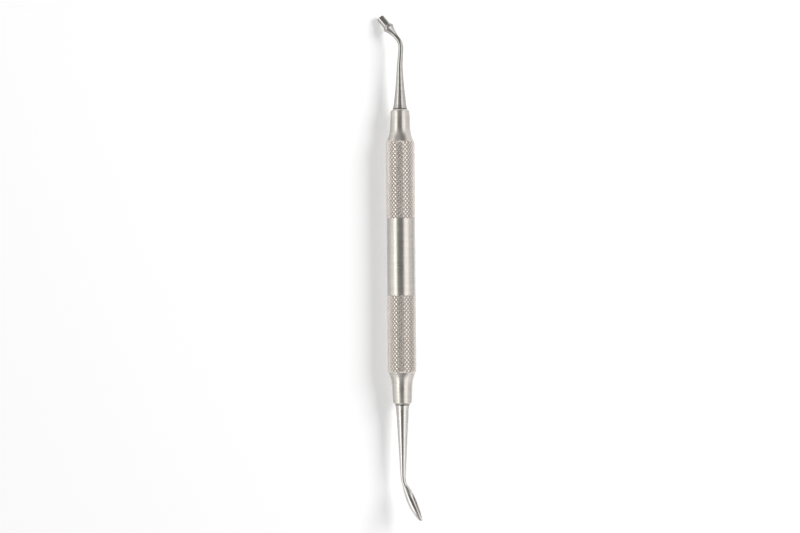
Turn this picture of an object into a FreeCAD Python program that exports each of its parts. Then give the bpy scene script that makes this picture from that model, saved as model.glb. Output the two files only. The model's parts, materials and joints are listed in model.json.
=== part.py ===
import FreeCAD, Part
import math
import os
import re
import Sketcher

# A double-ended bone graft condenser of stainless steel, in millimetres and degrees.
# It lies on the plane z = 0 with its long axis along X: the condenser's end is at +X, the scoop's at -X.
# The origin is the middle of its footprint. Its round handle rolls until the condenser's tip touches down.

doc = FreeCAD.newDocument("bone_graft_condenser")
sizes = doc.addObject("Spreadsheet::Sheet", "Sizes")

# Driving dimensions. Each length of a working end is measured out from the handle's end.
driving = {
    # handle: a plain band between two knurled bands, and a turned neck at each end
    "handle_length": 98,
    "plain_length": 25.5,
    "plain_radius": 4.7,
    "knurl_length": 25.2,
    "crest_radius": 4.75,
    "knurl_depth": 0.3,
    "knurl_pitch": 1.42,
    "knurl_count": 26,
    "knurl_bite": 0.1,
    "flare_radius": 3.36,
    "flare_curve": 12,
    "neck_radius": 3.15,
    "neck_chamfer": 0.62,
    "bore_radius": 3.5,
    "bore_cone": 2.5,
    "bore_reach": 0.58,
    # tangs, pressed into the necks
    "tang_radius": 2.4,
    "tang_length": 10,
    "tang_lead": 0.4,
    "fit_clearance": 0.02,
    "stub_length": 0.25,
    "collar_length": 1.35,
    "shank_radius": 2.15,
    # condenser's end: a long tapered shank, a slight bend away, then the bend to the tip
    "condenser_neck": 0.8,
    "condenser_taper": 2.3,
    "contra_start": 13.75,
    "contra_angle": 4,
    "contra_radius": 20,
    "contra_run": 5,
    "tip_angle": 39.5,
    "tip_bend": 5.2,
    "rim_flare": 4.28,
    "rim_radius": 1.85,
    "rim_land": 0.25,
    "rim_chamfer": 1,
    "nose_radius": 1.3,
    "nose_length": 3.35,
    "nose_bevel": 0.12,
    # scoop's end
    "scoop_neck": 0.78,
    "scoop_taper": 1,
    "scoop_start": 23.5,
    "scoop_angle": 26,
    "scoop_bend": 10,
    "scoop_widening": 2.1,
    "scoop_root": 1.08,
    "scoop_turn": 12,
    "belly_radius": 1.7,
    "belly_place": 5.2,
    "belly_curve": 19.5,
    "scoop_nose": 0.75,
    "scoop_wall": 0.32,
    "hollow_end": 1.1,
    "face_height": 0.45,
    "face_tilt": 4.5,
}

# Sizes that follow from the driving ones
derived = {
    "neck_end": "handle_length / 2",
    "knurl_start": "plain_length / 2",
    "knurl_end": "knurl_start + knurl_length",
    "root_radius": "crest_radius - knurl_depth",
    "core_radius": "root_radius - knurl_bite",
    "tang_bore": "tang_radius + fit_clearance",
    "bore_step": "knurl_end + bore_reach",
    # the necks' flare is an arc that runs out through the knurling; its centre stands off the axis
    "flare_stand": "flare_curve + flare_radius",
    "flare_end": "knurl_end + sqrt(flare_curve ^ 2 - (flare_stand - crest_radius) ^ 2)",
    "flare_over": "sqrt(flare_curve ^ 2 - (flare_stand - crest_radius - knurl_bite) ^ 2)",
    "flare_core": "sqrt(flare_curve ^ 2 - (flare_stand - core_radius) ^ 2)",
    "shank_start": "stub_length + collar_length",
    "axis_height": "crest_radius * cos(90 deg / knurl_count)",
    # the tip's flare and length past its bend, and how far its front edge stands out from the handle's axis
    "rim_step": "rim_radius - condenser_neck",
    "rim_curve": "(rim_flare ^ 2 + rim_step ^ 2) / (2 * rim_step)",
    "tip_length": "rim_flare + rim_land + rim_chamfer + nose_length",
    "contra_fall": "contra_radius * (1 - cos(contra_angle * 1 deg))"
    " + contra_run * sin(contra_angle * 1 deg)",
    "bend_rise": "tip_bend * (cos(contra_angle * 1 deg) - cos(tip_angle * 1 deg))",
    "edge_reach": "bend_rise - contra_fall + (tip_length - nose_bevel) * sin(tip_angle * 1 deg)",
    "edge_lift": "nose_radius * sin(tip_angle * 1 deg)",
    "condenser_reach": "contra_start + (contra_radius + tip_bend) * sin(contra_angle * 1 deg)"
    " + contra_run * cos(contra_angle * 1 deg) + tip_bend * sin(tip_angle * 1 deg)"
    " + tip_length * cos(tip_angle * 1 deg) + nose_radius * sin(tip_angle * 1 deg)",
    # the roll about the handle's axis at which that edge meets the floor
    "roll_square": "edge_reach ^ 2 + edge_lift ^ 2",
    "roll_root": "sqrt(axis_height ^ 2 * edge_reach ^ 2"
    " - roll_square * (axis_height ^ 2 - nose_radius ^ 2))",
    "rest_roll": "asin((axis_height * edge_reach - roll_root) / roll_square) / (1 deg)",
    # the scoop's outline: a swelling arc, a belly arc and a nose arc, each tangent to the next
    "scoop_swell": "belly_radius - scoop_root",
    "swell_curve": "(belly_place ^ 2 + scoop_swell ^ 2) / (2 * scoop_swell)",
    "belly_centre": "belly_curve - belly_radius",
    "nose_centre": "belly_place + sqrt((belly_curve - scoop_nose) ^ 2 - belly_centre ^ 2)",
    "scoop_length": "nose_centre + scoop_nose",
    "scoop_reach": "scoop_start + scoop_bend * sin(scoop_angle * 1 deg)"
    " + scoop_length * cos(scoop_angle * 1 deg)",
    # the hollow's outline, one wall inside the belly and the nose, with a round end towards the neck
    "hollow_curve": "belly_curve - scoop_wall",
    "hollow_nose": "scoop_nose - scoop_wall",
    "hollow_centre": "belly_place - sqrt((hollow_curve - hollow_end) ^ 2 - belly_centre ^ 2)",
    "middle_shift": "(scoop_reach - condenser_reach) / 2",
}

for row, (name, text) in enumerate([*driving.items(), *derived.items()], 1):
    sizes.set(f"A{row}", name)
    sizes.set(f"B{row}", f"={text}" if name in derived else str(text))
    sizes.setAlias(f"B{row}", name)
doc.recompute()


def size(formula):
    """The value of a formula of the sheet's names."""
    return float(getattr(sizes.evalExpression(formula), "Value", sizes.evalExpression(formula)))


def bound(formula):
    """The same formula with its names read from the sheet, for an object's expression."""
    return re.sub(
        "[a-z_]{3,}", lambda word: f"Sizes.{word[0]}" if hasattr(sizes, word[0]) else word[0], formula
    )


def turn(x, y, z, angle):
    return FreeCAD.Rotation(FreeCAD.Vector(x, y, z), angle)


def plane(body, role):
    return next(part for part in body.Origin.OriginFeatures if part.Role == role)


def arc_between(start, end, radius, side):
    """The shorter arc between two points, bulging to the left (side 1) or right (side -1) of the way."""
    way = end - start
    across = FreeCAD.Vector(-way.y, way.x, 0).normalize() * side
    centre = (start + end) / 2 - across * math.sqrt(radius**2 - (way.Length / 2) ** 2)
    angles = [math.atan2(point.y - centre.y, point.x - centre.x) for point in (start, end)]
    circle = Part.Circle(centre, FreeCAD.Vector(0, 0, 1), radius)
    return Part.ArcOfCircle(circle, *angles[::-side])


def turned(name, corners, curves):
    """A body turned about its X axis. Each corner of its outline is an (along, radius) pair of formulas.
    Curves give the radius formula and the side of an arc that starts at the corner of that number."""
    body = doc.addObject("PartDesign::Body", name)
    sketch = body.newObject("Sketcher::SketchObject", name + "_outline")
    sketch.AttachmentSupport = [(plane(body, "XY_Plane"), "")]
    sketch.MapMode = "FlatFace"
    points = [FreeCAD.Vector(size(along), size(radius), 0) for along, radius in corners]
    ends = []
    for i, start in enumerate(points):
        end = points[(i + 1) % len(points)]
        radius, side = curves.get(i, ("0", 0))
        edge = arc_between(start, end, size(radius), side) if side else Part.LineSegment(start, end)
        sketch.addGeometry(edge, False)
        ends.append((2, 1) if side == 1 else (1, 2))
    for i, (along, radius) in enumerate(corners):
        last = i - 1 if i else len(corners) - 1
        first_point = ends[i][0]
        sketch.addConstraint(Sketcher.Constraint("Coincident", last, ends[last][1], i, first_point))
        for kind, axis, formula in (("DistanceX", -2, along), ("DistanceY", -1, radius)):
            if size(formula) == 0:
                sketch.addConstraint(Sketcher.Constraint("PointOnObject", i, first_point, axis))
                continue
            place = sketch.addConstraint(Sketcher.Constraint(kind, -1, 1, i, first_point, size(formula)))
            sketch.setExpression(f"Constraints[{place}]", bound(formula))
        if i in curves:
            place = sketch.addConstraint(Sketcher.Constraint("Radius", i, size(curves[i][0])))
            sketch.setExpression(f"Constraints[{place}]", bound(curves[i][0]))
    turning = body.newObject("PartDesign::Revolution", name + "_turning")
    turning.Profile = sketch
    turning.ReferenceAxis = (sketch, ["H_Axis"])
    turning.Angle = 360
    sketch.Visibility = False
    return body


def walk(stretches, distance):
    """The place at a distance along a flat path of (length, turn) stretches that sets out along X."""
    place = FreeCAD.Placement()
    for length, angle in stretches:
        part = min(distance, length)
        swing = angle * part / length
        bend = math.radians(angle) / length
        if angle:
            step = FreeCAD.Vector(math.sin(bend * part), 1 - math.cos(bend * part), 0) / bend
        else:
            step = FreeCAD.Vector(part, 0, 0)
        place = place * FreeCAD.Placement(step, turn(0, 0, 1, swing))
        distance -= part
    return place


def shank(name, stretches, widening=0):
    """A round rod along the path, and the place of the path's end.

    It thins by its end's own power law and may widen again over the path's last part.
    """
    whole = sum(length for length, angle in stretches)
    start = size("shank_start")
    thinnest = whole - widening
    stops = [start]
    done = 0
    for length, angle in stretches:
        steps = max(2, math.ceil(abs(angle) / 6), math.ceil((length - max(0, start - done)) / 3))
        for step in range(1, steps + 1):
            stop = done + length * step / steps
            if stop > start + 1:
                stops.append(stop)
        done += length
    sections = []
    for number, stop in enumerate(stops):
        left = max(0, (thinnest - stop) / (thinnest - start))
        radius = f"{name}_neck + (shank_radius - {name}_neck) * {left:.6f} ^ {name}_taper"
        if stop > thinnest:
            again = (stop - thinnest) / widening
            radius += f" + ({name}_root - {name}_neck) * {again:.6f} ^ 2"
        ring = doc.addObject("Part::Circle", f"{name}_section_{number}")
        ring.setExpression("Radius", bound(radius))
        along = walk(stretches, stop)
        ring.Placement = FreeCAD.Placement(along.Base, along.Rotation * turn(0, 1, 0, 90))
        sections.append(ring)
    loft = doc.addObject("Part::Loft", name + "_shank")
    loft.Sections = sections
    loft.Solid = True
    loft.Ruled = False
    return loft, walk(stretches, whole)


def tang(name):
    """The pressed-in tang with its lead, the stub that shows past the neck, and the collar to the shank."""
    body = turned(
        name + "_tang",
        [
            ("0", "0"),
            ("0", "tang_radius - tang_lead"),
            ("tang_lead", "tang_radius"),
            ("tang_length + stub_length", "tang_radius"),
            ("tang_length + shank_start", "shank_radius"),
            ("tang_length + shank_start", "0"),
        ],
        {},
    )
    body.setExpression("Placement.Base.x", bound("-tang_length"))
    return body


def united(name, pieces):
    whole = doc.addObject("Part::MultiFuse", name)
    whole.Label = name
    whole.Shapes = pieces
    whole.Refine = False
    return whole


def worked(kind, name, base, tool):
    result = doc.addObject(kind, name)
    result.Base = base
    result.Tool = tool
    result.Refine = False
    return result


def knurled_ring():
    """A tube whose outside is diamond knurling. The corners where grooves cross and the diamonds' points
    alternate on a grid of half pitches, so each diamond is four flat facets that rise to a point."""
    half_pitch = size("knurl_pitch") / 2
    rows = math.ceil(size("flare_end - flare_core - knurl_start") / half_pitch)
    columns = 2 * int(size("knurl_count"))
    start, root, crest = size("knurl_start"), size("root_radius"), size("crest_radius")
    inside = (size("core_radius") + size("bore_radius")) / 2

    def point(x, radius, column):
        angle = 2 * math.pi * (column + 0.5) / columns
        return FreeCAD.Vector(x, radius * math.cos(angle), radius * math.sin(angle))

    def grid(row, column):
        return row * columns + column % columns

    points = []
    for row in range(rows + 1):
        for column in range(columns):
            is_point = 0 < row < rows and (row + column) % 2
            points.append(point(start + row * half_pitch, crest if is_point else root, column))
    facets = []
    for row in range(rows):
        for column in range(columns):
            a, b = grid(row, column), grid(row, column + 1)
            c, d = grid(row + 1, column + 1), grid(row + 1, column)
            facets += [(a, c, b), (a, d, c)] if (row + column) % 2 == 0 else [(a, d, b), (b, d, c)]
    near = len(points)
    far = near + columns
    points += [point(start, inside, column) for column in range(columns)]
    points += [point(start + rows * half_pitch, inside, column) for column in range(columns)]
    for column in range(columns):
        after = (column + 1) % columns
        n0, n1, f0, f1 = near + column, near + after, far + column, far + after
        a, b = grid(0, column), grid(0, column + 1)
        c, d = grid(rows, column + 1), grid(rows, column)
        facets += [(n0, n1, f1), (n0, f1, f0), (a, b, n1), (a, n1, n0), (d, f1, c), (d, f0, f1)]
    skin = Part.Shape()
    skin.makeShapeFromMesh((points, facets), 0.0001)
    solid = Part.Solid(Part.Shell(skin.Faces))
    if solid.Volume < 0:
        solid.reverse()
    ring = doc.addObject("Part::Feature", "knurled_ring")
    ring.Shape = solid
    return ring


def handle():
    """A plain band between two ends. Each end is a bored bar, knurled and then turned down to its neck."""
    band = turned(
        "plain_band",
        [
            ("0", "bore_radius"),
            ("0", "plain_radius"),
            ("knurl_start", "plain_radius"),
            ("knurl_start", "bore_radius"),
        ],
        {},
    )
    both = band.newObject("PartDesign::Mirrored", "plain_band_whole")
    both.Originals = [band.Tip]
    both.MirrorPlane = (plane(band, "YZ_Plane"), [""])
    band.Tip = both
    bar = turned(
        "handle_bar",
        [
            ("knurl_start", "bore_radius"),
            ("knurl_start", "core_radius"),
            ("neck_end + neck_chamfer", "core_radius"),
            ("neck_end + neck_chamfer", "tang_bore"),
            ("bore_step", "tang_bore"),
            ("bore_step - bore_cone", "bore_radius"),
        ],
        {},
    )
    neck = turned(
        "neck_turning",
        [
            ("0", "0"),
            ("0", "crest_radius + knurl_bite"),
            ("flare_end - flare_over", "crest_radius + knurl_bite"),
            ("flare_end", "flare_radius"),
            ("neck_end - neck_chamfer", "neck_radius"),
            ("neck_end", "neck_radius - neck_chamfer"),
            ("neck_end", "0"),
        ],
        {2: ("flare_curve", -1)},
    )
    knurled = united("knurled_bar", [bar, knurled_ring()])
    end = worked("Part::Common", "handle_end", knurled, neck)
    twin = doc.addObject("Part::Mirroring", "handle_end_twin")
    twin.Source = end
    twin.Normal = FreeCAD.Vector(1, 0, 0)
    whole = united("handle", [band, end, twin])
    whole.setExpression(
        "Placement", bound("placement(vector(middle_shift; 0; axis_height); rotation(0; 0; 0))")
    )
    return whole


def condenser_end():
    """The bent shank and the stepped tip: a flare to the rim, a chamfer to the nose, a bevelled end."""
    contra = math.radians(size("contra_angle")) * size("contra_radius")
    swing = size("tip_angle + contra_angle")
    rod, end = shank(
        "condenser",
        [
            (size("contra_start"), 0),
            (contra, -size("contra_angle")),
            (size("contra_run"), 0),
            (math.radians(swing) * size("tip_bend"), swing),
        ],
    )
    tip = turned(
        "condenser_tip",
        [
            ("0", "0"),
            ("0", "condenser_neck"),
            ("rim_flare", "rim_radius"),
            ("rim_flare + rim_land", "rim_radius"),
            ("rim_flare + rim_land + rim_chamfer", "nose_radius"),
            ("tip_length - nose_bevel", "nose_radius"),
            ("tip_length", "nose_radius - nose_bevel"),
            ("tip_length", "0"),
        ],
        {1: ("rim_curve", -1)},
    )
    tip.Placement = end
    whole = united("condenser_end", [tang("condenser"), rod, tip])
    whole.setExpression(
        "Placement",
        bound(
            "placement(vector(middle_shift + neck_end; 0; axis_height);"
            " rotation(vector(1; 0; 0); -rest_roll))"
        ),
    )
    return whole


def scoop_end():
    """The bent shank and the scoop: a turned bud, milled flat along one side and hollowed."""
    rod, end = shank(
        "scoop",
        [
            (size("scoop_start"), 0),
            (math.radians(size("scoop_angle")) * size("scoop_bend"), size("scoop_angle")),
        ],
        size("scoop_widening"),
    )
    bud = turned(
        "scoop_bud",
        [
            ("0", "0"),
            ("0", "scoop_root"),
            ("belly_place", "belly_radius"),
            (
                "nose_centre + scoop_nose * (nose_centre - belly_place) / (belly_curve - scoop_nose)",
                "scoop_nose * belly_centre / (belly_curve - scoop_nose)",
            ),
            ("scoop_length", "0"),
        ],
        {
            1: ("swell_curve", 1),
            2: ("belly_curve", 1),
            3: ("scoop_nose", 1),
        },
    )
    hollow = turned(
        "scoop_hollow",
        [
            ("hollow_centre - hollow_end", "0"),
            (
                "hollow_centre - hollow_end * (belly_place - hollow_centre) / (hollow_curve - hollow_end)",
                "hollow_end * belly_centre / (hollow_curve - hollow_end)",
            ),
            (
                "nose_centre + hollow_nose * (nose_centre - belly_place) / (hollow_curve - hollow_nose)",
                "hollow_nose * belly_centre / (hollow_curve - hollow_nose)",
            ),
            ("nose_centre + hollow_nose", "0"),
        ],
        {
            0: ("hollow_end", 1),
            1: ("hollow_curve", 1),
            2: ("hollow_nose", 1),
        },
    )
    milled = doc.addObject("Part::Box", "scoop_milled_side")
    for side, formula in (
        ("Length", "2 * scoop_length"),
        ("Width", "2 * belly_radius"),
        ("Height", "4 * belly_radius"),
    ):
        milled.setExpression(side, bound(formula))
    tilt = turn(0, 0, 1, -size("face_tilt"))
    corner = FreeCAD.Vector(size("scoop_length"), size("face_height"), 0)
    back = FreeCAD.Vector(-1.5 * size("scoop_length"), 0, -2 * size("belly_radius"))
    milled.Placement = FreeCAD.Placement(corner + tilt.multVec(back), tilt)
    flat = worked("Part::Cut", "scoop_flat", bud, milled)
    bowl = worked("Part::Cut", "scoop_bowl", flat, hollow)
    bowl.Placement = end
    whole = united("scoop_end", [tang("scoop"), rod, bowl])
    whole.setExpression(
        "Placement",
        bound(
            "placement(vector(middle_shift - neck_end; 0; axis_height);"
            " rotation(vector(1; 0; 0); -rest_roll - scoop_turn) * rotation(vector(0; 0; 1); 180))"
        ),
    )
    return whole


nodes = [handle(), condenser_end(), scoop_end()]
doc.recompute()

for item in doc.Objects:
    if {"Invalid", "Error"} & set(item.State):
        raise RuntimeError(f"{item.Label}: {item.State}")
for node in nodes:
    if node.Shape.isNull() or not node.Shape.isValid() or len(node.Shape.Solids) != 1:
        raise RuntimeError(f"{node.Label} is not one sound solid")

os.makedirs("parts", exist_ok=True)
for node in nodes:
    node.Shape.exportStep(f"parts/{node.Label}.step")
    box = node.Shape.BoundBox
    print(
        f"{node.Label}: {node.Shape.Volume:.1f} mm3, {len(node.Shape.Faces)} faces,"
        f" x {box.XMin:.2f} {box.XMax:.2f}, y {box.YMin:.2f} {box.YMax:.2f}, z {box.ZMin:.3f} {box.ZMax:.3f}"
    )
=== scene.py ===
import json
import math
import bmesh
import bpy
from mathutils import Matrix, Vector


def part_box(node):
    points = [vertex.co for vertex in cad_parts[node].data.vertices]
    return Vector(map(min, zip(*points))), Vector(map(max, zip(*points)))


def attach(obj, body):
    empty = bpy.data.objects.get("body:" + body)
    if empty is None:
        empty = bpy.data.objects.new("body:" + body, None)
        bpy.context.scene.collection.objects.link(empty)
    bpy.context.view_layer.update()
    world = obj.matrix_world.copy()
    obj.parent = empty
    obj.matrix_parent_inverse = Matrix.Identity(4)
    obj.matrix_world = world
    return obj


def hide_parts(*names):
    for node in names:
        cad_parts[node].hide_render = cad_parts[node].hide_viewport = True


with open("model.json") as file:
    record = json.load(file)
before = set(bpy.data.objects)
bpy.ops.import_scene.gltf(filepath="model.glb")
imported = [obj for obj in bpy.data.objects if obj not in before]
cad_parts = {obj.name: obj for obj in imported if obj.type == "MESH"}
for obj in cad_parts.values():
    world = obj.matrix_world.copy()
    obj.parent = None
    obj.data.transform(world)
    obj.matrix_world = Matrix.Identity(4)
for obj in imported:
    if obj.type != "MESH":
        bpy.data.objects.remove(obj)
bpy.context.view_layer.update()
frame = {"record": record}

mm = 0.001  # pieces are made in millimetres on their own axis, and finishPiece() puts them into the frame
weldDistance = 0.003  # millimetres: points nearer than this become one
sharpAngle = 27  # degrees: edges that turn further stay sharp
easeSteps = 4  # flats in the small round that breaks a corner
onAxis = 1e-6  # millimetres: a point nearer to the axis closes the end of a turned piece
pointsPerMm = 4  # along the paths that the working ends follow

# The handle's axis and ends, and the roll of the two working ends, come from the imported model.
handleLow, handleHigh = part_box("handle")
handleMiddle = (handleLow + handleHigh) / 2
neckEnd = (handleHigh.x - handleLow.x) / 2
noseAxis = next(mount["axis"] for mount in frame["record"]["mounts"] if mount["name"] == "nose_face")
restRoll = math.atan2(-noseAxis[2], noseAxis[1])


# Helpers for nodes, meshes and objects

def addNode(tree, kind, inputs=None, **settings):
    item = tree.nodes.new(kind)
    for name, value in settings.items():
        setattr(item, name, value)
    for name, value in (inputs or {}).items():
        if isinstance(value, bpy.types.NodeSocket):
            tree.links.new(value, item.inputs[name])
        else:
            item.inputs[name].default_value = value
    return item


def calc(tree, operation, *values):
    return addNode(tree, "ShaderNodeMath", dict(enumerate(values)), operation=operation).outputs[0]


def vectorCalc(tree, operation, *values):
    item = addNode(tree, "ShaderNodeVectorMath", dict(enumerate(values)), operation=operation)
    return item.outputs[0]


def mapRange(tree, value, fromLow, fromHigh, toLow=0, toHigh=1):
    ends = {"From Min": fromLow, "From Max": fromHigh, "To Min": toLow, "To Max": toHigh}
    return addNode(tree, "ShaderNodeMapRange", {"Value": value, **ends}).outputs[0]


def newTree(name, kind, inputs, outputs):
    tree = bpy.data.node_groups.new(name, kind)
    for direction, sockets in (("INPUT", inputs), ("OUTPUT", outputs)):
        for label, socketKind, value in sockets:
            kindName = f"NodeSocket{socketKind}"
            socket = tree.interface.new_socket(label, in_out=direction, socket_type=kindName)
            if value is not None:
                socket.default_value = value
    return tree, tree.nodes.new("NodeGroupInput").outputs, tree.nodes.new("NodeGroupOutput").inputs


def meshFrom(name, shape):
    mesh = bpy.data.meshes.new(name)
    shape.to_mesh(mesh)
    shape.free()
    return mesh


def addObject(name, data):
    item = bpy.data.objects.new(name, data)
    bpy.context.scene.collection.objects.link(item)
    return item


# Surface effects that more than one steel uses: stretches are per metre along X, Y and Z

surfaceMarks = {
    "ringsRound": 60,
    "unevenness": 0.5,
    "bandStretch": (900, 120, 120),
    "scratchTurn": (0.3, 0.2, 0.5),
    "scratchStretch": (260, 5200, 5200),
    "scratchFrom": 0.66,
    "scratchTo": 0.74,
    "scratchDullness": 0.12,
    "noiseLow": 0.3,
    "noiseHigh": 0.7,
    "bumpDistance": 0.00002,
}
# millimetres, apart from the colour: a dark band of painted shade where a shank meets the handle's neck
paintedJointShade = {
    "pastNeck": 0.1,
    "width": 0.26,
    "softEdge": 0.1,
    "colour": (0.12, 0.11, 0.10),
}


def turningMarksGroup():
    # fine rings left by the lathe: they vary along X and hardly at all round the axis
    tree, given, result = newTree(
        "turning marks",
        "ShaderNodeTree",
        [("Rings per mm", "Float", 6.0), ("Unevenness", "Float", 0.5)],
        [("Height", "Float", None), ("Shade", "Float", None)],
    )
    place = addNode(tree, "ShaderNodeTexCoord").outputs["Object"]
    along = calc(tree, "MULTIPLY", given["Rings per mm"], 1 / mm)
    around = surfaceMarks["ringsRound"]
    stretch = addNode(tree, "ShaderNodeCombineXYZ", {"X": along, "Y": around, "Z": around}).outputs[0]
    rings = addNode(
        tree,
        "ShaderNodeTexNoise",
        {"Vector": vectorCalc(tree, "MULTIPLY", place, stretch), "Scale": 1, "Detail": 3, "Roughness": 0.6},
    ).outputs[0]
    stretched = vectorCalc(tree, "MULTIPLY", place, surfaceMarks["bandStretch"])
    broad = addNode(tree, "ShaderNodeTexNoise", {"Vector": stretched, "Scale": 1, "Detail": 2}).outputs[0]
    mixed = addNode(
        tree, "ShaderNodeMix", {"Factor": given["Unevenness"], "A": rings, "B": broad}, data_type="FLOAT"
    )
    tree.links.new(rings, result["Height"])
    tree.links.new(mixed.outputs[0], result["Shade"])
    return tree


def handlingGroup():
    # soft smudges and thin scratches that fingers and trays leave on steel
    tree, given, result = newTree(
        "handling",
        "ShaderNodeTree",
        [("Smudge size mm", "Float", 5.0), ("Scratch amount", "Float", 0.5)],
        [("Smudges", "Float", None), ("Scratches", "Float", None)],
    )
    place = addNode(tree, "ShaderNodeTexCoord").outputs["Object"]
    perMetre = calc(tree, "DIVIDE", 1 / mm, given["Smudge size mm"])
    smudges = addNode(
        tree, "ShaderNodeTexNoise", {"Vector": place, "Scale": perMetre, "Detail": 4, "Roughness": 0.55}
    ).outputs[0]
    turn, stretch = surfaceMarks["scratchTurn"], surfaceMarks["scratchStretch"]
    turned = addNode(
        tree, "ShaderNodeMapping", {"Vector": place, "Rotation": turn, "Scale": stretch}
    ).outputs[0]
    lines = addNode(tree, "ShaderNodeTexNoise", {"Vector": turned, "Scale": 1, "Detail": 2}).outputs[0]
    sharp = mapRange(tree, lines, surfaceMarks["scratchFrom"], surfaceMarks["scratchTo"])
    tree.links.new(smudges, result["Smudges"])
    tree.links.new(calc(tree, "MULTIPLY", sharp, given["Scratch amount"]), result["Scratches"])
    return tree


def paintedJointShadeGroup():
    # the dark line where a shank leaves the handle's neck: painted shade, standing in for the shade in the
    # narrow gap there
    tree, given, result = newTree(
        "joint line", "ShaderNodeTree", [("Width mm", "Float", 0.3)], [("Mask", "Float", None)]
    )
    place = addNode(tree, "ShaderNodeTexCoord").outputs["Object"]
    along = addNode(tree, "ShaderNodeSeparateXYZ", {0: place}).outputs["X"]
    fromMiddle = calc(tree, "ABSOLUTE", calc(tree, "SUBTRACT", along, handleMiddle.x))
    jointPlace = neckEnd + paintedJointShade["pastNeck"] * mm
    fromJoint = calc(tree, "ABSOLUTE", calc(tree, "SUBTRACT", fromMiddle, jointPlace))
    edge = calc(tree, "MULTIPLY", given["Width mm"], 0.5 * mm)
    outside = mapRange(tree, fromJoint, edge, calc(tree, "ADD", edge, paintedJointShade["softEdge"] * mm))
    tree.links.new(calc(tree, "SUBTRACT", 1, outside), result["Mask"])
    return tree


turningMarks = turningMarksGroup()
handling = handlingGroup()
paintedJointShadeTree = paintedJointShadeGroup()


def useGroup(tree, group, values):
    item = addNode(tree, "ShaderNodeGroup", node_tree=group)
    for name, value in values.items():
        item.inputs[name].default_value = value
    return item.outputs


def blendColours(tree, factor, first, second):
    item = addNode(tree, "ShaderNodeMix", data_type="RGBA")
    for socket, value in ((item.inputs[0], factor), (item.inputs[6], first), (item.inputs[7], second)):
        if isinstance(value, bpy.types.NodeSocket):
            tree.links.new(value, socket)
        elif isinstance(value, tuple):
            socket.default_value = (*value, 1)
        else:
            socket.default_value = value
    return item.outputs[2]


def spread(tree, noise, low, high):
    # the middle of a noise's range becomes the whole way from low to high
    return mapRange(tree, noise, surfaceMarks["noiseLow"], surfaceMarks["noiseHigh"], low, high)


def crestMask(tree, look):
    # 0 at the bottom of the knurl's grooves, 1 on its crests
    height = addNode(tree, "ShaderNodeAttribute", attribute_name="crest").outputs["Fac"]
    return mapRange(tree, height, look["crestFrom"], look["crestTo"])


def steel(name, look):
    material = bpy.data.materials.new(name)
    material.use_nodes = True
    tree = material.node_tree
    shader = tree.nodes["Principled BSDF"]
    shader.inputs["Metallic"].default_value = 1
    marks = useGroup(
        tree, turningMarks, {"Rings per mm": look["ringsPerMm"], "Unevenness": surfaceMarks["unevenness"]}
    )
    wear = useGroup(
        tree, handling, {"Smudge size mm": look["smudgeSize"], "Scratch amount": look["scratches"]}
    )
    shade = spread(tree, marks["Shade"], 0, 1)
    colour = blendColours(tree, shade, look["dark"], look["light"])
    dull = 0
    # painted shade: the knurl's grooves take a darker colour than its crests
    if "paintedGrooveShade" in look:
        crest = crestMask(tree, look)
        colour = blendColours(tree, crest, look["paintedGrooveShade"], colour)
        dull = calc(tree, "MULTIPLY_ADD", crest, -look["grooveDullness"], look["grooveDullness"])
    # painted shade: a dark band at the joint of shank and neck
    inPaintedJointShade = useGroup(tree, paintedJointShadeTree, {"Width mm": paintedJointShade["width"]})["Mask"]
    colour = blendColours(tree, inPaintedJointShade, colour, paintedJointShade["colour"])
    roughness = calc(
        tree,
        "ADD",
        spread(tree, wear["Smudges"], look["smoothest"], look["roughest"]),
        calc(tree, "MULTIPLY_ADD", wear["Scratches"], surfaceMarks["scratchDullness"], dull),
    )
    height = calc(tree, "SUBTRACT", marks["Height"], wear["Scratches"])
    bump = addNode(
        tree,
        "ShaderNodeBump",
        {"Strength": look["bump"], "Distance": surfaceMarks["bumpDistance"], "Height": height},
    )
    tree.links.new(colour, shader.inputs["Base Color"])
    tree.links.new(roughness, shader.inputs["Roughness"])
    tree.links.new(bump.outputs[0], shader.inputs["Normal"])
    return material


satinSteel = steel(
    "satin steel",
    {
        "dark": (0.55, 0.522, 0.488),
        "light": (0.66, 0.626, 0.586),
        "ringsPerMm": 9,
        "smudgeSize": 6,
        "scratches": 0.4,
        "smoothest": 0.27,
        "roughest": 0.33,
        "bump": 0.25,
    },
)
# painted light: the knurl's steel is lighter than the satin steel of the plain band, lightest on the crests;
# its grooves get painted shade
knurledSteelPaintedLight = steel(
    "knurled steel",
    {
        "dark": (0.68, 0.627, 0.587),
        "light": (0.79, 0.73, 0.682),
        "paintedGrooveShade": (0.62, 0.572, 0.534),
        "grooveDullness": 0.2,
        "crestFrom": 0,
        "crestTo": 0.85,
        "ringsPerMm": 5,
        "smudgeSize": 4,
        "scratches": 0.2,
        "smoothest": 0.25,
        "roughest": 0.32,
        "bump": 0.15,
    },
)
polishedLook = {
    "dark": (0.55, 0.535, 0.513),
    "light": (0.64, 0.622, 0.597),
    "ringsPerMm": 4,
    "smudgeSize": 3,
    "scratches": 0.5,
    "smoothest": 0.13,
    "roughest": 0.2,
    "bump": 0.08,
}
scoopSteel = steel("polished scoop steel", polishedLook)
# painted shade: the same polished steel made darker for the condenser end, standing in for the dimmer light
# it gets towards the handle's head
paintedShadeCondenserSteel = steel(
    "polished condenser steel",
    {**polishedLook, "dark": (0.42, 0.406, 0.388), "light": (0.5, 0.484, 0.463)},
)
# the hollow is rougher, as a ground surface is, and lighter than the rest of the scoop's steel: the lighter
# colour is painted light that brightens the hollow
groundHollowSteelPaintedLight = steel(
    "hollow's ground steel",
    {
        **polishedLook,
        "dark": (0.76, 0.74, 0.715),
        "light": (0.86, 0.84, 0.81),
        "smoothest": 0.5,
        "roughest": 0.58,
    },
)
print("steels made")


# Turned blanks

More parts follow.
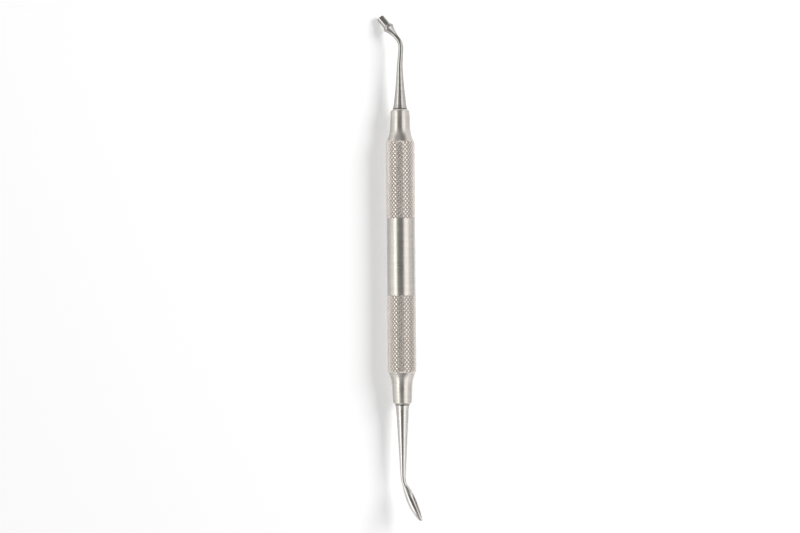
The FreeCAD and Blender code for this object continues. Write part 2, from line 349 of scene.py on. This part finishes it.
def arcPoints(start, end, radius, side, count):
    # points between two ends of an arc that bulges to the left (side 1) or right (side -1) of the way
    way = end - start
    across = Vector((-way.y, way.x)).normalized() * side
    centre = (start + end) / 2 - across * math.sqrt(radius**2 - way.length_squared / 4)
    first = math.atan2(start.y - centre.y, start.x - centre.x)
    swing = math.atan2(end.y - centre.y, end.x - centre.x) - first
    swing = (swing + math.pi) % (2 * math.pi) - math.pi
    angles = [first + swing * step / count for step in range(1, count)]
    return [centre + radius * Vector((math.cos(angle), math.sin(angle))) for angle in angles]


def turnedOutline(corners, arcs=()):
    # corners are (along, radius, ease), where ease is the size of the small round that breaks the corner;
    # arcs are (corner, radius, side, count) for the stretch after that corner
    points = [Vector(corner[:2]) for corner in corners]
    outline = []
    for number, (here, corner) in enumerate(zip(points, corners)):
        ease = corner[2]
        if ease:
            before = here + (points[number - 1] - here).normalized() * ease
            after = here + (points[number + 1] - here).normalized() * ease
            for step in range(easeSteps + 1):
                part = step / easeSteps
                outline.append(before * (1 - part) ** 2 + here * 2 * part * (1 - part) + after * part**2)
        else:
            outline.append(here)
        for place, radius, side, count in arcs:
            if place == number:
                outline += arcPoints(here, points[number + 1], radius, side, count)
    return outline


def lathe(name, outlines, count):
    # each outline is turned about X into rings of the same count, and a point on the axis closes its end
    shape = bmesh.new()
    for outline in outlines:
        rings = []
        for point in outline:
            if point.y < onAxis:
                rings.append([shape.verts.new((point.x, 0, 0))] * count)
                continue
            angles = [2 * math.pi * step / count for step in range(count)]
            rings.append(
                [shape.verts.new((point.x, point.y * math.cos(a), point.y * math.sin(a))) for a in angles]
            )
        for near, far in zip(rings, rings[1:]):
            for step in range(count):
                after = (step + 1) % count
                corners = [near[step], near[after], far[after], far[step]]
                shape.faces.new(sorted(set(corners), key=corners.index))
    return addObject(name, meshFrom(name, shape))


def evaluatedMesh(item):
    # the result of an object's modifiers as a plain mesh; the object itself goes
    bpy.context.view_layer.update()
    graph = bpy.context.evaluated_depsgraph_get()
    mesh = bpy.data.meshes.new_from_object(item.evaluated_get(graph))
    bpy.data.objects.remove(item)
    return mesh


def withNodes(item, tree, values):
    modifier = item.modifiers.new(tree.name, "NODES")
    modifier.node_group = tree
    sockets = [socket for socket in tree.interface.items_tree if socket.in_out == "INPUT"]
    identifiers = {socket.name: socket.identifier for socket in sockets}
    for name, value in values.items():
        modifier[identifiers[name]] = value
    return evaluatedMesh(item)


def finishPiece(name, mesh, placement, node):
    shape = bmesh.new()
    shape.from_mesh(mesh)
    bmesh.ops.remove_doubles(shape, verts=shape.verts, dist=weldDistance)
    bmesh.ops.recalc_face_normals(shape, faces=shape.faces)
    openEdges = sum(edge.is_boundary for edge in shape.edges)
    sharedEdges = sum(len(edge.link_faces) > 2 for edge in shape.edges)
    shape.to_mesh(mesh)
    shape.free()
    mesh.transform(placement @ Matrix.Scale(mm, 4))
    mesh.shade_smooth()
    mesh.set_sharp_from_angle(angle=math.radians(sharpAngle))
    mesh.name = name
    piece = addObject(name, mesh)
    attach(piece, "root")
    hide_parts(node)
    print(f"{name}: {len(mesh.polygons)} faces, {openEdges} open edges, {sharedEdges} with over two faces")


# Handle: a turned stock and two knurled bands

handleSizes = {
    "plainHalf": 12.75,
    "plainRadius": 4.7,
    "knurlEnd": 37.95,
    "pitch": 1.42,
    "columns": 26,
    "rootRadius": 4.54,
    "crestRadius": 4.735,
    "crestFlat": 0.5,
    "joinRadius": 4.53,
    "flareRadius": 3.36,
    "flareCurve": 12,
    "neckRadius": 3.15,
    "neckChamfer": 0.62,
    "boreRadius": 3.5,
    "boreReach": 0.58,
    "boreCone": 2.5,
    "tangBore": 2.42,
    "plainEase": 0.06,
    "neckEase": 0.06,
    "mouthEase": 0.04,
    "flareRings": 14,
    "sidesPerColumn": 4,
}


def knurlTree():
    # four-sided studs on two staggered grids, cut square at the plain band and by the neck's flare,
    # then wrapped round the axis, mirrored to the other end and joined to the stock
    tree, given, result = newTree(
        "knurled bands",
        "GeometryNodeTree",
        [
            ("Geometry", "Geometry", None),
            ("Start", "Float", handleSizes["plainHalf"]),
            ("End", "Float", None),
            ("Pitch", "Float", handleSizes["pitch"]),
            ("Columns", "Int", handleSizes["columns"]),
            ("Rows", "Int", None),
            ("Root radius", "Float", handleSizes["rootRadius"]),
            ("Crest radius", "Float", handleSizes["crestRadius"]),
            ("Flare end", "Float", None),
            ("Flare curve", "Float", handleSizes["flareCurve"]),
            ("Flare radius", "Float", handleSizes["flareRadius"]),
            ("Crest flat", "Float", handleSizes["crestFlat"]),
            ("Knurl material", "Material", None),
        ],
        [("Geometry", "Geometry", None)],
    )
    stud = addNode(
        tree,
        "GeometryNodeMeshCone",
        {
            "Vertices": 4,
            "Side Segments": 1,
            "Fill Segments": 1,
            "Radius Top": calc(tree, "MULTIPLY", given["Crest flat"], 0.5),
            "Radius Bottom": 0.5,
            "Depth": 1,
        },
        fill_type="NGON",
    )
    openStud = addNode(
        tree,
        "GeometryNodeDeleteGeometry",
        {"Geometry": stud.outputs["Mesh"], "Selection": stud.outputs["Bottom"]},
        domain="FACE",
    )
    fineStud = addNode(
        tree, "GeometryNodeSubdivideMesh", {"Mesh": openStud.outputs[0], "Level": 1}
    ).outputs[0]
    studScale = addNode(tree, "ShaderNodeCombineXYZ", {"X": given["Pitch"], "Y": 1, "Z": 1}).outputs[0]
    length = calc(tree, "MULTIPLY", calc(tree, "SUBTRACT", given["Rows"], 1), given["Pitch"])
    width = calc(tree, "SUBTRACT", given["Columns"], 1)
    grid = addNode(
        tree,
        "GeometryNodeMeshGrid",
        {"Size X": length, "Size Y": width, "Vertices X": given["Rows"], "Vertices Y": given["Columns"]},
    ).outputs["Mesh"]
    studs = addNode(tree, "GeometryNodeJoinGeometry")
    # the grids' shifts are in pitches along the handle and in columns round it
    for rowShift, columnShift in ((0, 0.75), (0.5, 0.25)):
        corner = addNode(
            tree,
            "ShaderNodeCombineXYZ",
            {
                "X": calc(
                    tree,
                    "ADD",
                    calc(tree, "MULTIPLY_ADD", given["Pitch"], rowShift, given["Start"]),
                    calc(tree, "MULTIPLY", length, 0.5),
                ),
                "Y": calc(tree, "MULTIPLY_ADD", width, 0.5, columnShift),
            },
        ).outputs[0]
        points = addNode(tree, "GeometryNodeTransform", {"Geometry": grid, "Translation": corner}).outputs[0]
        placed = addNode(
            tree,
            "GeometryNodeInstanceOnPoints",
            {"Points": points, "Instance": fineStud, "Scale": studScale},
        ).outputs[0]
        tree.links.new(placed, studs.inputs[0])
    flatBand = addNode(tree, "GeometryNodeRealizeInstances", {"Geometry": studs.outputs[0]}).outputs[0]
    place = addNode(tree, "ShaderNodeSeparateXYZ", {0: addNode(tree, "GeometryNodeInputPosition").outputs[0]})
    along = calc(tree, "MINIMUM", calc(tree, "MAXIMUM", place.outputs["X"], given["Start"]), given["End"])
    beforeEnd = calc(tree, "MINIMUM", calc(tree, "SUBTRACT", given["Flare end"], along), given["Flare curve"])
    fall = calc(
        tree,
        "SQRT",
        calc(
            tree,
            "SUBTRACT",
            calc(tree, "MULTIPLY", given["Flare curve"], given["Flare curve"]),
            calc(tree, "MULTIPLY", beforeEnd, beforeEnd),
        ),
    )
    flare = calc(tree, "SUBTRACT", calc(tree, "ADD", given["Flare curve"], given["Flare radius"]), fall)
    rise = calc(tree, "SUBTRACT", given["Crest radius"], given["Root radius"])
    height = calc(tree, "MULTIPLY_ADD", place.outputs["Z"], rise, given["Root radius"])
    radius = calc(tree, "MINIMUM", height, flare)
    top = calc(tree, "MINIMUM", given["Crest radius"], flare)
    crest = calc(tree, "SUBTRACT", 1, calc(tree, "DIVIDE", calc(tree, "SUBTRACT", top, radius), rise))
    measured = addNode(
        tree,
        "GeometryNodeStoreNamedAttribute",
        {"Geometry": flatBand, "Name": "crest", "Value": crest},
        data_type="FLOAT",
        domain="POINT",
    ).outputs[0]
    angle = calc(tree, "DIVIDE", calc(tree, "MULTIPLY", place.outputs["Y"], 2 * math.pi), given["Columns"])
    wrapped = addNode(
        tree,
        "ShaderNodeCombineXYZ",
        {
            "X": along,
            "Y": calc(tree, "MULTIPLY", radius, calc(tree, "COSINE", angle)),
            "Z": calc(tree, "MULTIPLY", radius, calc(tree, "SINE", angle)),
        },
    ).outputs[0]
    band = addNode(tree, "GeometryNodeSetPosition", {"Geometry": measured, "Position": wrapped}).outputs[0]
    twin = addNode(tree, "GeometryNodeTransform", {"Geometry": band, "Scale": (-1, 1, 1)}).outputs[0]
    turnedTwin = addNode(tree, "GeometryNodeFlipFaces", {"Mesh": twin}).outputs[0]
    bands = addNode(tree, "GeometryNodeJoinGeometry")
    tree.links.new(band, bands.inputs[0])
    tree.links.new(turnedTwin, bands.inputs[0])
    marked = addNode(
        tree,
        "GeometryNodeStoreNamedAttribute",
        {"Geometry": bands.outputs[0], "Name": "knurled", "Value": True},
        data_type="BOOLEAN",
        domain="FACE",
    ).outputs[0]
    whole = addNode(tree, "GeometryNodeJoinGeometry")
    tree.links.new(marked, whole.inputs[0])
    tree.links.new(given["Geometry"], whole.inputs[0])
    welded = addNode(
        tree, "GeometryNodeMergeByDistance", {"Geometry": whole.outputs[0], "Distance": weldDistance}
    )
    plain = addNode(tree, "GeometryNodeRealizeInstances", {"Geometry": welded.outputs[0]}).outputs[0]
    knurled = addNode(tree, "GeometryNodeInputNamedAttribute", {"Name": "knurled"}, data_type="BOOLEAN")
    dressed = addNode(
        tree,
        "GeometryNodeSetMaterial",
        {"Geometry": plain, "Selection": knurled.outputs["Attribute"], "Material": given["Knurl material"]},
    ).outputs[0]
    tree.links.new(dressed, result["Geometry"])
    return tree


def makeHandle():
    s = handleSizes
    neckStop = neckEnd / mm
    stand = s["flareCurve"] + s["flareRadius"]
    flareEnd = s["knurlEnd"] + math.sqrt(s["flareCurve"] ** 2 - (stand - s["crestRadius"]) ** 2)
    join = flareEnd - math.sqrt(s["flareCurve"] ** 2 - (stand - s["joinRadius"]) ** 2)
    boreStep = s["knurlEnd"] + s["boreReach"]
    rightEnd = [
        (join, s["joinRadius"], 0),
        (flareEnd, s["flareRadius"], 0),
        (neckStop - s["neckChamfer"], s["neckRadius"], s["neckEase"]),
        (neckStop, s["neckRadius"] - s["neckChamfer"], s["mouthEase"]),
        (neckStop, s["tangBore"], 0),
        (boreStep, s["tangBore"], 0),
        (boreStep - s["boreCone"], s["boreRadius"], 0),
    ]
    leftEnd = [(-along, radius, ease) for along, radius, ease in reversed(rightEnd)]
    lastFlare = len(rightEnd) + len(leftEnd) - 2
    flares = [(corner, s["flareCurve"], -1, s["flareRings"]) for corner in (0, lastFlare)]
    ends = turnedOutline(rightEnd + leftEnd, flares)
    middle = turnedOutline(
        [
            (-s["plainHalf"], s["rootRadius"], 0),
            (-s["plainHalf"], s["plainRadius"], s["plainEase"]),
            (s["plainHalf"], s["plainRadius"], s["plainEase"]),
            (s["plainHalf"], s["rootRadius"], 0),
        ]
    )
    stock = lathe("handle stock", [ends, middle], s["sidesPerColumn"] * s["columns"])
    stock.data.materials.append(satinSteel)
    values = {
        "Start": s["plainHalf"],
        "End": join,
        "Pitch": s["pitch"],
        "Columns": s["columns"],
        "Rows": math.ceil((join - s["plainHalf"]) / s["pitch"]) + 1,
        "Root radius": s["rootRadius"],
        "Crest radius": s["crestRadius"],
        "Crest flat": s["crestFlat"],
        "Flare end": flareEnd,
        "Flare curve": s["flareCurve"],
        "Flare radius": s["flareRadius"],
        "Knurl material": knurledSteelPaintedLight,
    }
    mesh = withNodes(stock, knurlTree(), values)
    finishPiece("knurledHandle", mesh, Matrix.Translation(handleMiddle), "handle")


# Working ends: each is turned straight as one blank and then bent along its path

endSizes = {
    "tangRadius": 2.4,
    "tangLength": 10,
    "tangLead": 0.4,
    "stubLength": 0.25,
    "collarLength": 1.35,
    "shankRadius": 2.15,
    "stubEase": 0.08,
    "shankRings": 90,
    "pathSpare": 1,
}
condenserSizes = {
    "neck": 0.8,
    "taper": 2.3,
    "start": 13.75,
    "contraAngle": 4,
    "contraRadius": 20,
    "contraRun": 5,
    "tipAngle": 39.5,
    "tipBend": 5.2,
    "rimFlare": 4.28,
    "rimRadius": 1.85,
    "rimLand": 0.25,
    "rimChamfer": 1,
    "noseRadius": 1.3,
    "noseLength": 3.35,
    "noseBevel": 0.12,
    "rimEase": 0.05,
    "noseEase": 0.04,
    "flareRings": 16,
    "sides": 72,
}
scoopSizes = {
    "neck": 0.78,
    "taper": 1,
    "start": 23.5,
    "angle": 26,
    "bend": 10,
    "widening": 2.1,
    "root": 1.08,
    "turn": 12,
    "bellyRadius": 1.699,
    "bellyPlace": 5.2,
    "bellyCurve": 19.5,
    "nose": 0.7495,
    "wall": 0.32,
    "hollowEnd": 1.1,
    "faceHeight": 0.45,
    "faceTilt": 4.5,
    "cutterDepth": 4,
    "cutterAcross": 8,
    "cutterLengths": 4,
    "budRings": (24, 40, 12),
    "hollowRings": (12, 48, 8),
    "sides": 96,
    "inwardLimit": -0.5,
}


def bendTree():
    # each point of the straight blank goes to the same distance along the path, as far out as it was
    tree, given, result = newTree(
        "bend along path",
        "GeometryNodeTree",
        [
            ("Geometry", "Geometry", None),
            ("Path", "Object", None),
            ("Path start", "Float", -endSizes["tangLength"]),
            ("Steel", "Material", None),
            ("Hollow steel", "Material", None),
        ],
        [("Geometry", "Geometry", None)],
    )
    path = addNode(tree, "GeometryNodeObjectInfo", {"Object": given["Path"]}).outputs["Geometry"]
    place = addNode(tree, "ShaderNodeSeparateXYZ", {0: addNode(tree, "GeometryNodeInputPosition").outputs[0]})
    distance = calc(tree, "SUBTRACT", place.outputs["X"], given["Path start"])
    sample = addNode(
        tree,
        "GeometryNodeSampleCurve",
        {"Curves": path, "Length": distance},
        mode="LENGTH",
        use_all_curves=True,
    )
    square = vectorCalc(tree, "CROSS_PRODUCT", (0, 0, 1), sample.outputs["Tangent"])
    across = vectorCalc(tree, "NORMALIZE", square)
    sideways = addNode(
        tree, "ShaderNodeVectorMath", {0: across, "Scale": place.outputs["Y"]}, operation="SCALE"
    )
    upward = addNode(tree, "ShaderNodeCombineXYZ", {"Z": place.outputs["Z"]}).outputs[0]
    offset = vectorCalc(tree, "ADD", sideways.outputs[0], upward)
    bent = vectorCalc(tree, "ADD", sample.outputs["Position"], offset)
    moved = addNode(
        tree, "GeometryNodeSetPosition", {"Geometry": given["Geometry"], "Position": bent}
    ).outputs[0]
    plain = addNode(tree, "GeometryNodeRealizeInstances", {"Geometry": moved}).outputs[0]
    dressed = addNode(
        tree, "GeometryNodeSetMaterial", {"Geometry": plain, "Material": given["Steel"]}
    ).outputs[0]
    hollow = addNode(tree, "GeometryNodeInputNamedAttribute", {"Name": "hollow"}, data_type="BOOLEAN")
    ground = addNode(
        tree,
        "GeometryNodeSetMaterial",
        {"Geometry": dressed, "Selection": hollow.outputs["Attribute"], "Material": given["Hollow steel"]},
    ).outputs[0]
    tree.links.new(ground, result["Geometry"])
    return tree


bending = bendTree()


def pathCurve(name, stretches):
    # a flat line that starts along X at the tang's end and runs through (length, turn) stretches
    place = Vector((-endSizes["tangLength"], 0))
    heading = 0
    points = [place]
    for length, turn in [(endSizes["tangLength"], 0), *stretches]:
        steps = math.ceil(length * pointsPerMm)
        for step in range(steps):
            middle = heading + math.radians(turn) * (step + 0.5) / steps
            place = place + Vector((math.cos(middle), math.sin(middle))) * length / steps
            points.append(place)
        heading += math.radians(turn)
    curve = bpy.data.curves.new(name, "CURVE")
    curve.dimensions = "3D"
    line = curve.splines.new("POLY")
    line.points.add(len(points) - 1)
    for target, point in zip(line.points, points):
        target.co = (point.x, point.y, 0, 1)
    return addObject(name, curve)


def blankStart(s, whole, widening=0):
    # tang with its lead, the stub past the neck, the collar and the tapered shank up to the end of the bends,
    # where it may widen again
    e = endSizes
    begin = e["stubLength"] + e["collarLength"]
    corners = [
        (-e["tangLength"], 0, 0),
        (-e["tangLength"], e["tangRadius"] - e["tangLead"], 0),
        (e["tangLead"] - e["tangLength"], e["tangRadius"], 0),
        (e["stubLength"], e["tangRadius"], e["stubEase"]),
        (begin, e["shankRadius"], 0),
    ]
    steps = e["shankRings"]
    thinnest = whole - widening
    for step in range(1, steps + 1):
        along = begin + (whole - begin) * step / steps
        left = max(0, (thinnest - along) / (thinnest - begin))
        radius = s["neck"] + (e["shankRadius"] - s["neck"]) * left ** s["taper"]
        if along > thinnest:
            radius += (s["root"] - s["neck"]) * ((along - thinnest) / widening) ** 2
        corners.append((along, radius, 0))
    return corners


def bentPiece(name, blank, stretches, placement, node, steels):
    # steels are the outside's and, where the piece has a hollow, the hollow's
    path = pathCurve(name + " path", stretches)
    mesh = withNodes(
        blank,
        bending,
        {"Path": path, "Path start": -endSizes["tangLength"], "Steel": steels[0], "Hollow steel": steels[-1]},
    )
    bpy.data.objects.remove(path)
    finishPiece(name, mesh, placement, node)


def makeCondenser():
    s = condenserSizes
    contra = math.radians(s["contraAngle"]) * s["contraRadius"]
    swing = s["tipAngle"] + s["contraAngle"]
    stretches = [
        (s["start"], 0),
        (contra, -s["contraAngle"]),
        (s["contraRun"], 0),
        (math.radians(swing) * s["tipBend"], swing),
    ]
    whole = sum(length for length, turn in stretches)
    corners = blankStart(s, whole)
    rim = whole + s["rimFlare"]
    step = s["rimRadius"] - s["neck"]
    flareCurve = (s["rimFlare"] ** 2 + step**2) / (2 * step)
    flare = (len(corners) - 1, flareCurve, -1, s["flareRings"])
    nose = rim + s["rimLand"] + s["rimChamfer"]
    corners += [
        (rim, s["rimRadius"], s["rimEase"]),
        (rim + s["rimLand"], s["rimRadius"], s["rimEase"]),
        (nose, s["noseRadius"], s["noseEase"]),
        (nose + s["noseLength"] - s["noseBevel"], s["noseRadius"], s["noseEase"]),
        (nose + s["noseLength"], s["noseRadius"] - s["noseBevel"], s["noseEase"]),
        (nose + s["noseLength"], 0, 0),
    ]
    blank = lathe("condenser blank", [turnedOutline(corners, [flare])], s["sides"])
    stretches.append((nose + s["noseLength"] - whole + endSizes["pathSpare"], 0))
    placement = (
        Matrix.Translation(handleMiddle + Vector((neckEnd, 0, 0)))
        @ Matrix.Rotation(-restRoll, 4, "X")
    )
    bentPiece("condenserEnd", blank, stretches, placement, "condenser_end", [paintedShadeCondenserSteel])


def scoopOutlines(s):
    # the bud and its hollow, each a chain of arcs that meet without a corner
    swell = s["bellyRadius"] - s["root"]
    rear = (s["bellyPlace"] ** 2 + swell**2) / (2 * swell)
    belly = s["bellyCurve"]
    centre = belly - s["bellyRadius"]
    noseCentre = s["bellyPlace"] + math.sqrt((belly - s["nose"]) ** 2 - centre**2)
    length = noseCentre + s["nose"]

    def noseJoin(nose, curve):
        part = nose / (curve - nose)
        return (noseCentre + part * (noseCentre - s["bellyPlace"]), part * centre, 0)

    bud = [(s["bellyPlace"], s["bellyRadius"], 0), noseJoin(s["nose"], belly), (length, 0, 0)]
    budCurves = (rear, belly, s["nose"])
    budArcs = [(corner, budCurves[corner], 1, s["budRings"][corner]) for corner in range(3)]
    inner = belly - s["wall"]
    innerNose = s["nose"] - s["wall"]
    back = s["bellyPlace"] - math.sqrt((inner - s["hollowEnd"]) ** 2 - centre**2)
    part = s["hollowEnd"] / (inner - s["hollowEnd"])
    hollow = [
        (back - s["hollowEnd"], 0, 0),
        (back - part * (s["bellyPlace"] - back), part * centre, 0),
        noseJoin(innerNose, inner),
        (noseCentre + innerNose, 0, 0),
    ]
    hollowCurves = (s["hollowEnd"], inner, innerNose)
    hollowArcs = [(corner, hollowCurves[corner], 1, s["hollowRings"][corner]) for corner in range(3)]
    return bud, budArcs, hollow, hollowArcs, length


def cutAway(blank, tools):
    for tool in tools:
        modifier = blank.modifiers.new(tool.name, "BOOLEAN")
        modifier.operation = "DIFFERENCE"
        modifier.solver = "EXACT"
        modifier.object = tool
    name = blank.name
    mesh = evaluatedMesh(blank)
    for tool in tools:
        bpy.data.objects.remove(tool)
    return addObject(name, mesh)


def makeScoop():
    s = scoopSizes
    bend = math.radians(s["angle"]) * s["bend"]
    stretches = [(s["start"], 0), (bend, s["angle"])]
    whole = s["start"] + bend
    corners = blankStart(s, whole, s["widening"])
    bud, budArcs, hollow, hollowArcs, length = scoopOutlines(s)
    first = len(corners) - 1
    corners += [(whole + along, radius, ease) for along, radius, ease in bud]
    arcs = [(first + corner, *arc) for corner, *arc in budArcs]
    blank = lathe("scoop blank", [turnedOutline(corners, arcs)], s["sides"])
    hollowTool = lathe("scoop hollow", [turnedOutline(hollow, hollowArcs)], s["sides"])
    hollowTool.data.transform(Matrix.Translation((whole, 0, 0)))
    # the cutter for the milled side is a block whose lower face is tilted about the scoop's nose
    block = bmesh.new()
    bmesh.ops.create_cube(block, size=1)
    size = Matrix.Diagonal((s["cutterLengths"] * length, s["cutterDepth"], s["cutterAcross"], 1))
    raised = Matrix.Translation((0, s["cutterDepth"] / 2, 0))
    tilt = Matrix.Rotation(-math.radians(s["faceTilt"]), 4, "Z")
    block.transform(Matrix.Translation((whole + length, s["faceHeight"], 0)) @ tilt @ raised @ size)
    flatTool = addObject("milled side", meshFrom("milled side", block))
    blank = cutAway(blank, [flatTool, hollowTool])
    # the hollow's faces are those past the bend that look towards the axis
    marks = blank.data.attributes.new("hollow", "BOOLEAN", "FACE").data
    for face, mark in zip(blank.data.polygons, marks):
        outward = Vector((0, face.center.y, face.center.z)).normalized()
        mark.value = face.center.x > whole and face.normal.dot(outward) < s["inwardLimit"]
    placement = (
        Matrix.Translation(handleMiddle - Vector((neckEnd, 0, 0)))
        @ Matrix.Rotation(-restRoll - math.radians(s["turn"]), 4, "X")
        @ Matrix.Rotation(math.pi, 4, "Z")
    )
    stretches.append((length + endSizes["pathSpare"], 0))
    bentPiece("scoopEnd", blank, stretches, placement, "scoop_end", [scoopSteel, groundHollowSteelPaintedLight])


makeHandle()
print("handle made")
makeCondenser()
makeScoop()
print("working ends made")


# Floor, light and camera

studio = {
    "floorHalf": 2,
    "floorColour": 0.8,
    "floorGlow": 0.42,
    "floorGlowInSteel": 0.45,
    "roomAbove": 0.17,
    "roomEnds": 0.22,
    "roomCorners": 0.5,
    "endsFrom": 0.3,
    "endsTo": 0.8,
    "cornersFrom": 0.07,
    "cornersTo": 0.3,
    "cameraDistance": 0.45,
    "cameraLens": 60.9,
    "sensor": 36,
    "frameWidth": 800,
    "frameHeight": 533,
    "handleAcross": 401.25,
    "handleDown": 256.8,
    "leanDegrees": 0.47,
    "apparentRollDegrees": 4,
}
# fromUp is a lamp's angle in degrees from straight up, towards +Y, and lights is what it lights:
# the steel's reflections or the floor
lamps = {
    "side light": {
        "fromUp": 78,
        "towardsHead": -0.12,
        "distance": 0.5,
        "size": (0.74, 0.22),
        "radiance": 1.82,
        "colour": (0.965, 1, 0.945),
        "lights": "steel",
    },
    "top light": {
        "fromUp": -13,
        "towardsHead": -0.12,
        "distance": 0.6,
        "size": (0.92, 0.46),
        "radiance": 1.38,
        "colour": (1, 0.985, 0.98),
        "lights": "steel",
    },
    "far fill": {
        "fromUp": -58,
        "towardsHead": 0,
        "distance": 0.6,
        "size": (1.6, 0.5),
        "radiance": 0.62,
        "colour": (1, 1, 1),
        "lights": "steel",
    },
    "floor light": {
        "fromUp": -47.5,
        "towardsHead": 0.36,
        "distance": 1.2,
        "size": (0.62, 0.62),
        "radiance": 9.6,
        "colour": (1, 1, 1),
        "lights": "floor",
    },
}


def makeFloor():
    shape = bmesh.new()
    bmesh.ops.create_grid(shape, x_segments=1, y_segments=1, size=studio["floorHalf"])
    mesh = meshFrom("floor", shape)
    floor = addObject("floor", mesh)
    material = bpy.data.materials.new("pale floor")
    material.use_nodes = True
    tree = material.node_tree
    tree.nodes.remove(tree.nodes["Principled BSDF"])
    grey = (studio["floorColour"],) * 3
    matt = addNode(tree, "ShaderNodeBsdfDiffuse", {"Color": (*grey, 1)})
    rays = addNode(tree, "ShaderNodeLightPath").outputs
    inSteel = calc(tree, "MULTIPLY", rays["Is Glossy Ray"], studio["floorGlowInSteel"])
    seen = calc(tree, "MULTIPLY_ADD", rays["Is Camera Ray"], studio["floorGlow"], inSteel)
    glow = addNode(tree, "ShaderNodeEmission", {"Strength": seen})
    both = addNode(tree, "ShaderNodeAddShader", {0: matt.outputs[0], 1: glow.outputs[0]})
    tree.links.new(both.outputs[0], tree.nodes["Material Output"].inputs["Surface"])
    mesh.materials.append(material)


def makeWorld():
    world = bpy.data.worlds.new("studio")
    world.use_nodes = True
    bpy.context.scene.world = world
    tree = world.node_tree
    # the room is dim overhead, less so towards its ends, and pale in its corners; the camera sees it white
    direction = addNode(tree, "ShaderNodeTexCoord").outputs["Generated"]
    part = addNode(tree, "ShaderNodeSeparateXYZ", {0: direction}).outputs
    along = calc(tree, "ABSOLUTE", part["X"])
    diagonal = calc(tree, "MULTIPLY", along, calc(tree, "ABSOLUTE", part["Y"]))
    ends = mapRange(tree, along, studio["endsFrom"], studio["endsTo"])
    corners = mapRange(tree, diagonal, studio["cornersFrom"], studio["cornersTo"])
    middle = blendColours(tree, ends, (studio["roomAbove"],) * 3, (studio["roomEnds"],) * 3)
    room = blendColours(tree, corners, middle, (studio["roomCorners"],) * 3)
    rays = addNode(tree, "ShaderNodeLightPath").outputs
    colour = blendColours(tree, rays["Is Camera Ray"], room, (1.0, 1.0, 1.0))
    tree.links.new(colour, tree.nodes["Background"].inputs["Color"])


def softLight(name, fromUp, towardsHead, distance, size, radiance, colour, lights):
    # a rectangle that faces the handle
    angle = math.radians(fromUp)
    away = Vector((towardsHead, math.sin(angle), math.cos(angle))).normalized()
    light = bpy.data.lights.new(name, "AREA")
    light.shape = "RECTANGLE"
    light.size, light.size_y = size
    light.energy = radiance * math.pi * size[0] * size[1]
    light.color = colour
    item = addObject(name, light)
    across = Vector((1, 0, 0))
    across = (across - away * across.dot(away)).normalized()
    turned = Matrix((across, away.cross(across), away)).transposed()
    item.matrix_world = Matrix.Translation(handleMiddle + away * distance) @ turned.to_4x4()
    item.visible_glossy = lights == "steel"
    item.visible_diffuse = lights == "floor"


def makeCamera():
    lean = math.radians(studio["leanDegrees"])
    tilt = restRoll - math.radians(studio["apparentRollDegrees"])
    back = Vector((0, math.sin(tilt), math.cos(tilt)))
    up = Vector((1, 0, 0))
    right = up.cross(back)
    leanedUp = up * math.cos(lean) + right * math.sin(lean)
    leanedRight = right * math.cos(lean) - up * math.sin(lean)
    data = bpy.data.cameras.new("camera")
    data.lens = studio["cameraLens"]
    data.sensor_width = studio["sensor"]
    viewWidth = studio["cameraDistance"] * studio["sensor"] / studio["cameraLens"]
    metresPerPixel = viewWidth / studio["frameWidth"]
    acrossShift = (studio["frameWidth"] / 2 - studio["handleAcross"]) * metresPerPixel
    downShift = (studio["frameHeight"] / 2 - studio["handleDown"]) * metresPerPixel
    aim = handleMiddle + leanedRight * acrossShift - leanedUp * downShift
    camera = addObject("camera", data)
    turned = Matrix((leanedRight, leanedUp, back)).transposed()
    camera.matrix_world = Matrix.Translation(aim + back * studio["cameraDistance"]) @ turned.to_4x4()
    bpy.context.scene.camera = camera


makeFloor()
makeWorld()
for name, lamp in lamps.items():
    softLight(name, **lamp)
makeCamera()
bpy.context.scene.view_settings.view_transform = "Standard"
print("studio made")
